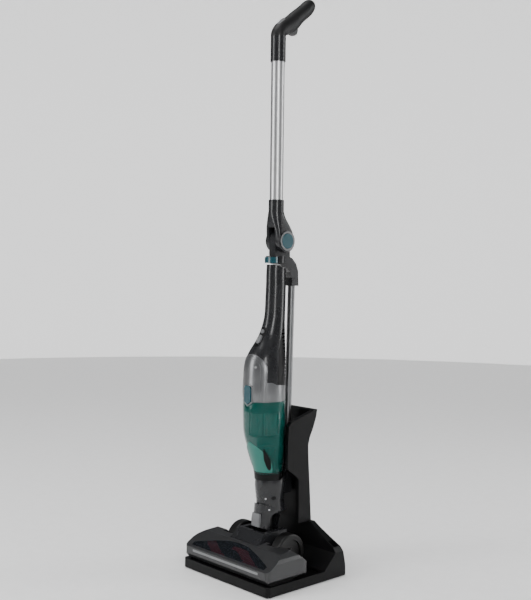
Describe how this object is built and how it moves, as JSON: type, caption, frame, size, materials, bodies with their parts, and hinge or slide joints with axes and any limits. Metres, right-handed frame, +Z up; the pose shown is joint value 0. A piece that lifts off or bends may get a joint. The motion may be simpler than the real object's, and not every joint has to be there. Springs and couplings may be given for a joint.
{
  "type": "cordless stick vacuum",
  "caption": "Cordless stick vacuum with a removable hand unit, clear dust bin, folding handle and wide floor head, parked on its charging dock.",
  "frame": {"origin": "on the floor, under the middle of the whole object's footprint", "axes": "+Z up, front of the floor head towards -Y, +X to the right seen from the front"},
  "size_m": [0.247, 0.2202, 1.1319],
  "materials": {
    "black_plastic": "fine moulded texture",
    "charcoal_gloss": "glossy moulded",
    "gunmetal": "metallic painted gloss",
    "silver_paint": "metallic silver",
    "anodised": "anodised satin",
    "dark_aluminium": "anodised satin",
    "teal": "glossy",
    "teal_clear": "translucent",
    "smoke_clear": "translucent",
    "light_grey": "fine moulded texture",
    "white_lens": "ribbed lens",
    "rubber_black": "matt",
    "grip_black": "soft touch",
    "red_bristle": "nylon tufts",
    "filter_cloth": "pleated felt",
    "milky_green": "translucent milky",
    "steel": "bright",
    "brass": "plated",
    "board_green": "solder mask",
    "motor_metal": "plain"
  },
  "bodies": {
    "dock": {"dock_tray": "black_plastic", "dock_column": "black_plastic", "dock_bottom_plate": "black_plastic", "dock_feet": "rubber_black", "dock_screws": "steel", "charging_contacts": "brass", "contact_block": "black_plastic", "charger_socket": "black_plastic"},
    "floor_head": {"head_base": "gunmetal", "head_cover": "gunmetal", "head_hood": "charcoal_gloss", "head_window": "smoke_clear", "light_bar": "white_lens", "light_board": "board_green", "brush_bearings": "light_grey", "brush_motor": "motor_metal", "drive_belt": "rubber_black", "wheel_axles": "steel", "suction_duct": "black_plastic"},
    "brush": {"brush_core": "black_plastic", "brush_bristles": "red_bristle", "brush_pulley": "light_grey"},
    "motor_spindle": {"motor_pulley": "steel"},
    "left_wheel": {"wheel_left": "rubber_black"},
    "right_wheel": {"wheel_right": "rubber_black"},
    "frame": {"neck_yoke": "charcoal_gloss", "neck_hose": "rubber_black", "pivot_pins": "steel", "frame_socket": "charcoal_gloss", "rear_tube": "dark_aluminium", "upper_yoke": "charcoal_gloss"},
    "pedal": {"release_pedal": "light_grey"},
    "frame_button": {"yoke_button": "teal"},
    "upper": {"fold_fork": "charcoal_gloss", "fold_rings": "silver_paint", "fold_pin": "steel", "upper_tube": "anodised", "handle_collar": "charcoal_gloss", "handle_grip": "grip_black"},
    "fold_left": {"fold_button_left": "teal"},
    "fold_right": {"fold_button_right": "teal"},
    "handle_switch": {"handle_power_button": "light_grey"},
    "trigger": {"handle_trigger": "gunmetal"},
    "hand_vac": {"hand_front_shell": "charcoal_gloss", "hand_rear_shell": "black_plastic", "silver_bezel": "silver_paint", "button_panel": "black_plastic", "indicator_lamp": "white_lens", "dust_bin": "teal_clear", "bin_nozzle": "black_plastic", "inlet_flap": "milky_green", "filter_frame": "black_plastic", "filter_pleats": "filter_cloth", "suction_motor": "motor_metal", "battery_cells": "steel", "circuit_board": "board_green"},
    "bin_latch": {"bin_release_button": "teal"},
    "round_key": {"round_button": "light_grey"},
    "oval_key": {"oval_button": "light_grey"},
    "impeller": {"fan": "light_grey"}
  },
  "joints": [
    {"name": "dock_lift_off", "type": "slide", "parent": "dock", "child": "floor_head", "axis": [0, -0.8, 0.6], "range_m": [0, 0.4]},
    {"name": "neck_tilt", "type": "hinge", "parent": "floor_head", "child": "frame", "pos_m": [0, 0.007, 0.074], "axis": [-1, 0, 0], "range_deg": [0, 75]},
    {"name": "brush_spin", "type": "hinge", "parent": "floor_head", "child": "brush", "pos_m": [0, -0.071, 0.037], "axis": [1, 0, 0], "continuous": true},
    {"name": "motor_spin", "type": "hinge", "parent": "floor_head", "child": "motor_spindle", "pos_m": [0.1, -0.033, 0.046], "axis": [1, 0, 0], "continuous": true},
    {"name": "left_wheel_spin", "type": "hinge", "parent": "floor_head", "child": "left_wheel", "pos_m": [-0.0635, -0.005, 0.0525], "axis": [1, 0, 0], "continuous": true},
    {"name": "right_wheel_spin", "type": "hinge", "parent": "floor_head", "child": "right_wheel", "pos_m": [0.0635, -0.005, 0.0525], "axis": [1, 0, 0], "continuous": true},
    {"name": "pedal_press", "type": "slide", "parent": "frame", "child": "pedal", "axis": [0, 1, 0], "range_m": [0, 0.003], "stiffness_N_per_m": 400, "springref_m": -0.002},
    {"name": "hand_vac_tilt", "type": "hinge", "parent": "frame", "child": "hand_vac", "pos_m": [0, -0.026, 0.184], "axis": [1, 0, 0], "range_deg": [0, 18]},
    {"name": "yoke_button_press", "type": "slide", "parent": "frame", "child": "frame_button", "axis": [0, 1, 0], "range_m": [0, 0.0025], "stiffness_N_per_m": 300, "springref_m": -0.002},
    {"name": "handle_fold", "type": "hinge", "parent": "frame", "child": "upper", "pos_m": [0, 0.027, 0.65], "axis": [1, 0, 0], "range_deg": [0, 90]},
    {"name": "fold_button_left_press", "type": "slide", "parent": "upper", "child": "fold_left", "axis": [1, 0, 0], "range_m": [0, 0.003], "stiffness_N_per_m": 300, "springref_m": -0.002},
    {"name": "fold_button_right_press", "type": "slide", "parent": "upper", "child": "fold_right", "axis": [-1, 0, 0], "range_m": [0, 0.003], "stiffness_N_per_m": 300, "springref_m": -0.002},
    {"name": "handle_button_press", "type": "slide", "parent": "upper", "child": "handle_switch", "axis": [0, 0.7314, -0.682], "range_m": [0, 0.002], "stiffness_N_per_m": 300, "springref_m": -0.002},
    {"name": "trigger_pull", "type": "hinge", "parent": "upper", "child": "trigger", "pos_m": [0, 0.046, 1.058], "axis": [1, 0, 0], "range_deg": [0, 8], "stiffness_Nm_per_rad": 0.02, "springref_deg": -11.46},
    {"name": "bin_release_press", "type": "slide", "parent": "hand_vac", "child": "bin_latch", "axis": [0, 1, 0], "range_m": [0, 0.0025], "stiffness_N_per_m": 300, "springref_m": -0.002},
    {"name": "round_button_press", "type": "slide", "parent": "hand_vac", "child": "round_key", "axis": [0, 0.8572, -0.515], "range_m": [0, 0.0015], "stiffness_N_per_m": 300, "springref_m": -0.002},
    {"name": "oval_button_press", "type": "slide", "parent": "hand_vac", "child": "oval_key", "axis": [0, 0.8572, -0.515], "range_m": [0, 0.0015], "stiffness_N_per_m": 300, "springref_m": -0.002},
    {"name": "fan_spin", "type": "hinge", "parent": "hand_vac", "child": "impeller", "pos_m": [0, -0.007, 0.38], "axis": [0, 0, 1], "continuous": true}
  ],
  "couplings": [
    {"joint": "neck_tilt", "follows": "dock_lift_off", "rad_per_m": 3.25},
    {"joint": "motor_spin", "follows": "brush_spin", "ratio": 2}
  ]
}
